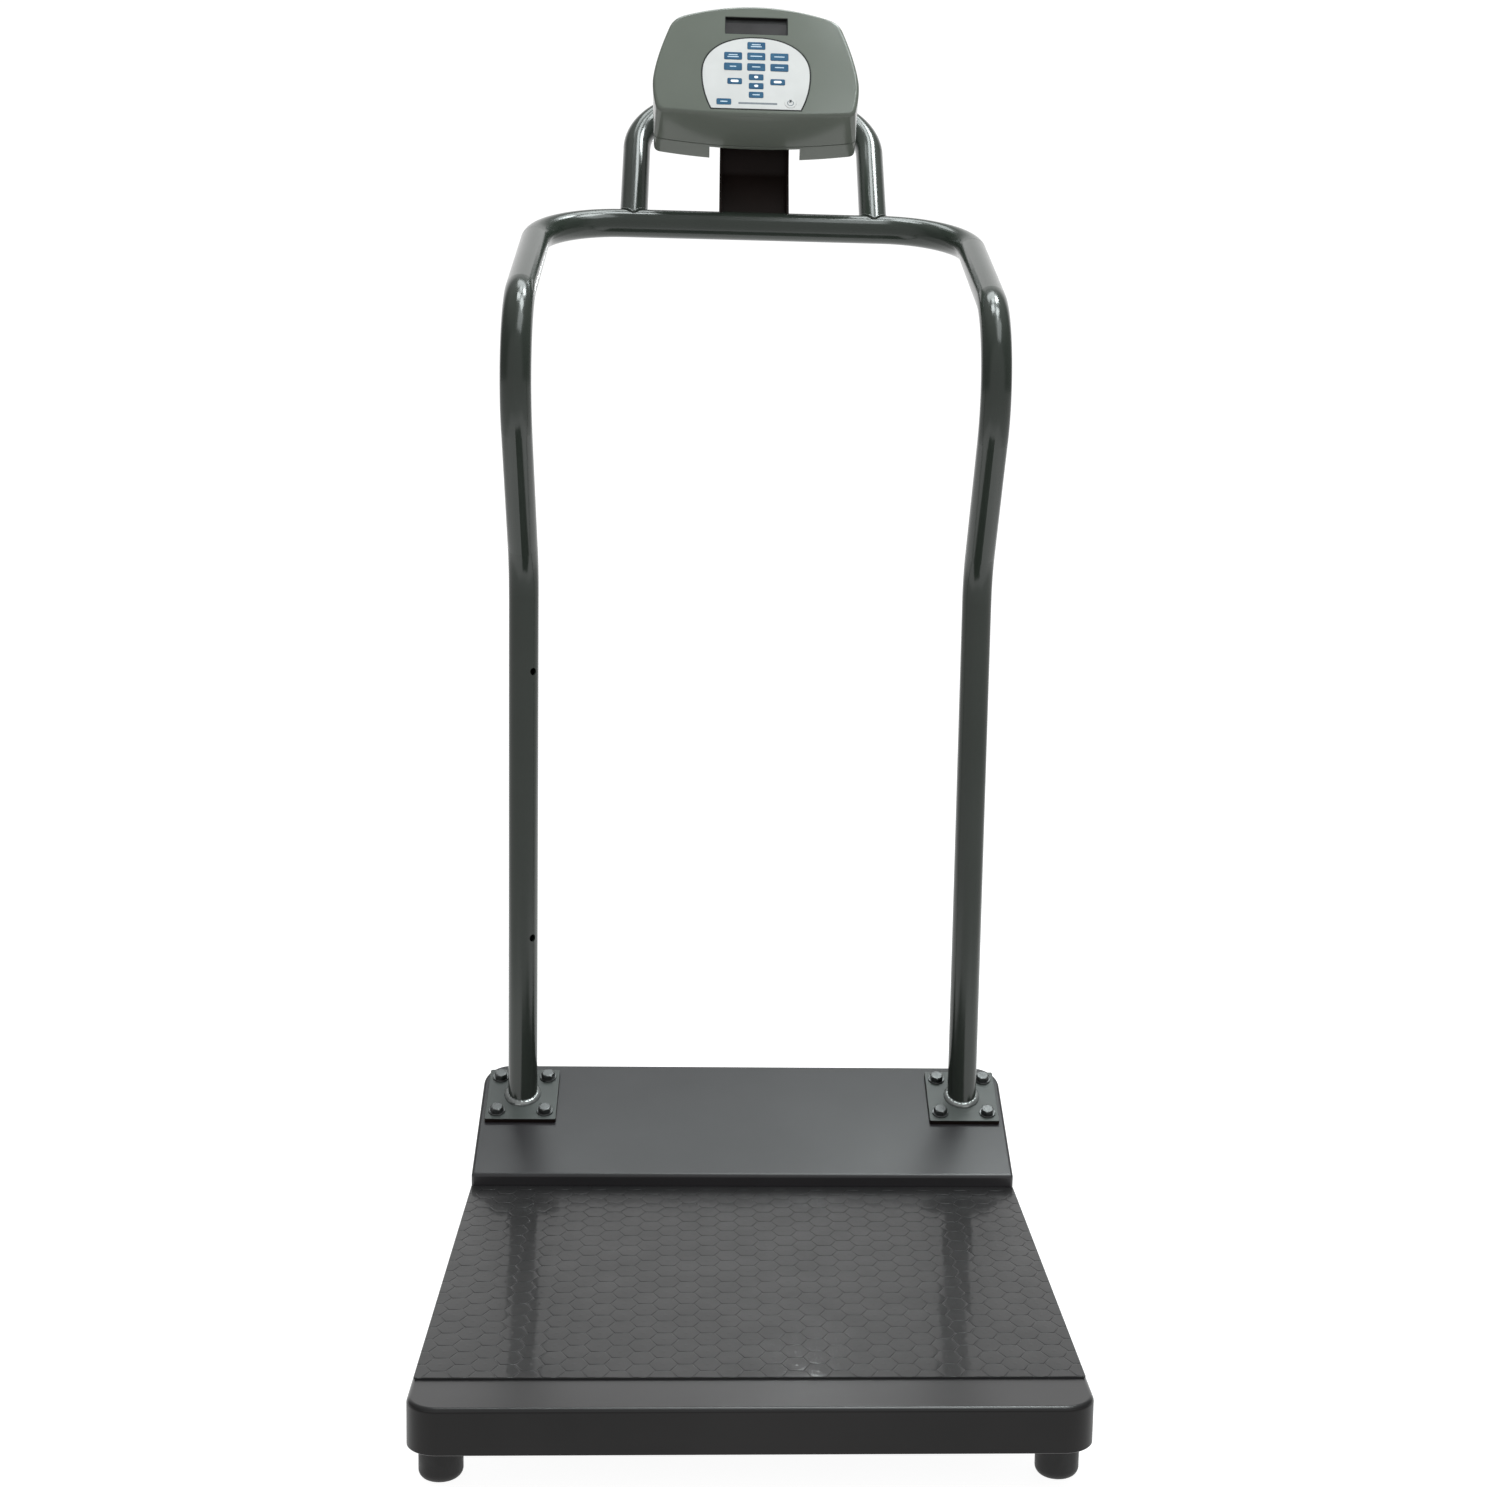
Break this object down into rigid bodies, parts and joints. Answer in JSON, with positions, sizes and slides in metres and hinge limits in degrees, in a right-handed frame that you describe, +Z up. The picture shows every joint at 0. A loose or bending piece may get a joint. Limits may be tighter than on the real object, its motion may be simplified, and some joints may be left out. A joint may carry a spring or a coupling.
{
  "type": "platform weighing scale",
  "caption": "Floor platform scale for a veterinary clinic: rubber-matted deck on load cells, bent-tube handrail and a tilting display head with keypad.",
  "frame": {"origin": "on the floor, below the centre of the whole object", "axes": "+Z up, +Y from the front band to the handrail crossbar, +X to the right seen from the front"},
  "size_m": [0.58, 1.0866, 1.3621],
  "materials": {
    "deck_paint": "satin black powder coat",
    "mat_rubber": "matt moulded rubber",
    "rail_paint": "gloss dark grey-green enamel",
    "bracket_paint": "satin black",
    "zinc": "dark zinc plate",
    "bare_steel": "machined",
    "alloy": "machined",
    "circuit_board": "solder resist",
    "head_shell": "satin metallic grey-green",
    "overlay_film": "semi-gloss film",
    "key_film": "semi-gloss film",
    "window": "tinted, clear",
    "display": "matt",
    "black_plastic": "fine grain",
    "foot_rubber": "matt",
    "battery": "printed sleeve"
  },
  "bodies": {
    "base": {"platform_deck": "deck_paint", "base_frame": "deck_paint", "frame_crossmembers": "deck_paint", "platform_mat": "mat_rubber", "rear_cover": "deck_paint", "summing_board": "circuit_board", "load_cell_spacers": "bare_steel", "load_cell_bolts": "zinc", "foot_lock_nuts": "zinc", "left_rail_anchor": "deck_paint", "right_rail_anchor": "deck_paint", "left_flange": "rail_paint", "right_flange": "rail_paint", "flange_bolts": "zinc", "flange_washers": "zinc", "flange_nuts": "zinc", "handrail_tube": "rail_paint", "head_arch": "rail_paint", "head_bracket": "bracket_paint", "load_cell_front_left": "alloy", "load_cell_front_right": "alloy", "load_cell_rear_left": "alloy", "load_cell_rear_right": "alloy"},
    "head": {"tilt_pin": "bare_steel", "tilt_bushes": "black_plastic", "tilt_nuts": "zinc", "head_front_shell": "head_shell", "head_rear_shell": "head_shell", "head_screws": "zinc", "display_window": "window", "display_module": "display", "main_board": "circuit_board", "keypad_circuit": "display", "keypad_overlay": "overlay_film", "battery_tray": "black_plastic", "batteries": "battery", "power_inlet": "black_plastic"},
    "battery_door": {"battery_door": "head_shell"},
    "key_top": {"key_top": "key_film"},
    "key_row2_left": {"key_row2_left": "key_film"},
    "key_row2_mid": {"key_row2_mid": "key_film"},
    "key_row2_right": {"key_row2_right": "key_film"},
    "key_row3_left": {"key_row3_left": "key_film"},
    "key_row3_mid": {"key_row3_mid": "key_film"},
    "key_row3_right": {"key_row3_right": "key_film"},
    "key_up": {"key_up": "key_film"},
    "key_down": {"key_down": "key_film"},
    "key_lower_mid": {"key_lower_mid": "key_film"},
    "key_side_left": {"key_side_left": "key_film"},
    "key_side_right": {"key_side_right": "key_film"},
    "key_bottom_left": {"key_bottom_left": "key_film"},
    "key_power": {"key_power": "overlay_film"},
    "foot_front_left": {"foot_pad_front_left": "foot_rubber", "foot_stud_front_left": "bare_steel"},
    "foot_front_right": {"foot_pad_front_right": "foot_rubber", "foot_stud_front_right": "bare_steel"},
    "foot_rear_left": {"foot_pad_rear_left": "foot_rubber", "foot_stud_rear_left": "bare_steel"},
    "foot_rear_right": {"foot_pad_rear_right": "foot_rubber", "foot_stud_rear_right": "bare_steel"}
  },
  "joints": [
    {"name": "head_tilt", "type": "hinge", "parent": "base", "child": "head", "pos_m": [0, 0.4006, 1.22028], "axis": [1, 0, 0], "range_deg": [-12, 15]},
    {"name": "battery_door_slide", "type": "slide", "parent": "head", "child": "battery_door", "axis": [0, 0.5299, 0.848], "range_m": [0, 0.05]},
    {"name": "key_top_press", "type": "slide", "parent": "head", "child": "key_top", "axis": [0, 0.848, -0.5299], "range_m": [0, 0.0004], "stiffness_N_per_m": 400},
    {"name": "key_row2_left_press", "type": "slide", "parent": "head", "child": "key_row2_left", "axis": [0, 0.848, -0.5299], "range_m": [0, 0.0004], "stiffness_N_per_m": 400},
    {"name": "key_row2_mid_press", "type": "slide", "parent": "head", "child": "key_row2_mid", "axis": [0, 0.848, -0.5299], "range_m": [0, 0.0004], "stiffness_N_per_m": 400},
    {"name": "key_row2_right_press", "type": "slide", "parent": "head", "child": "key_row2_right", "axis": [0, 0.848, -0.5299], "range_m": [0, 0.0004], "stiffness_N_per_m": 400},
    {"name": "key_row3_left_press", "type": "slide", "parent": "head", "child": "key_row3_left", "axis": [0, 0.848, -0.5299], "range_m": [0, 0.0004], "stiffness_N_per_m": 400},
    {"name": "key_row3_mid_press", "type": "slide", "parent": "head", "child": "key_row3_mid", "axis": [0, 0.848, -0.5299], "range_m": [0, 0.0004], "stiffness_N_per_m": 400},
    {"name": "key_row3_right_press", "type": "slide", "parent": "head", "child": "key_row3_right", "axis": [0, 0.848, -0.5299], "range_m": [0, 0.0004], "stiffness_N_per_m": 400},
    {"name": "key_up_press", "type": "slide", "parent": "head", "child": "key_up", "axis": [0, 0.848, -0.5299], "range_m": [0, 0.0004], "stiffness_N_per_m": 400},
    {"name": "key_down_press", "type": "slide", "parent": "head", "child": "key_down", "axis": [0, 0.848, -0.5299], "range_m": [0, 0.0004], "stiffness_N_per_m": 400},
    {"name": "key_lower_mid_press", "type": "slide", "parent": "head", "child": "key_lower_mid", "axis": [0, 0.848, -0.5299], "range_m": [0, 0.0004], "stiffness_N_per_m": 400},
    {"name": "key_side_left_press", "type": "slide", "parent": "head", "child": "key_side_left", "axis": [0, 0.848, -0.5299], "range_m": [0, 0.0004], "stiffness_N_per_m": 400},
    {"name": "key_side_right_press", "type": "slide", "parent": "head", "child": "key_side_right", "axis": [0, 0.848, -0.5299], "range_m": [0, 0.0004], "stiffness_N_per_m": 400},
    {"name": "key_bottom_left_press", "type": "slide", "parent": "head", "child": "key_bottom_left", "axis": [0, 0.848, -0.5299], "range_m": [0, 0.0004], "stiffness_N_per_m": 400},
    {"name": "key_power_press", "type": "slide", "parent": "head", "child": "key_power", "axis": [0, 0.848, -0.5299], "range_m": [0, 0.0004], "stiffness_N_per_m": 400},
    {"name": "foot_front_left_height", "type": "slide", "parent": "base", "child": "foot_front_left", "axis": [0, 0, -1], "range_m": [0, 0.012]},
    {"name": "foot_front_right_height", "type": "slide", "parent": "base", "child": "foot_front_right", "axis": [0, 0, -1], "range_m": [0, 0.012]},
    {"name": "foot_rear_left_height", "type": "slide", "parent": "base", "child": "foot_rear_left", "axis": [0, 0, -1], "range_m": [0, 0.012]},
    {"name": "foot_rear_right_height", "type": "slide", "parent": "base", "child": "foot_rear_right", "axis": [0, 0, -1], "range_m": [0, 0.012]}
  ]
}
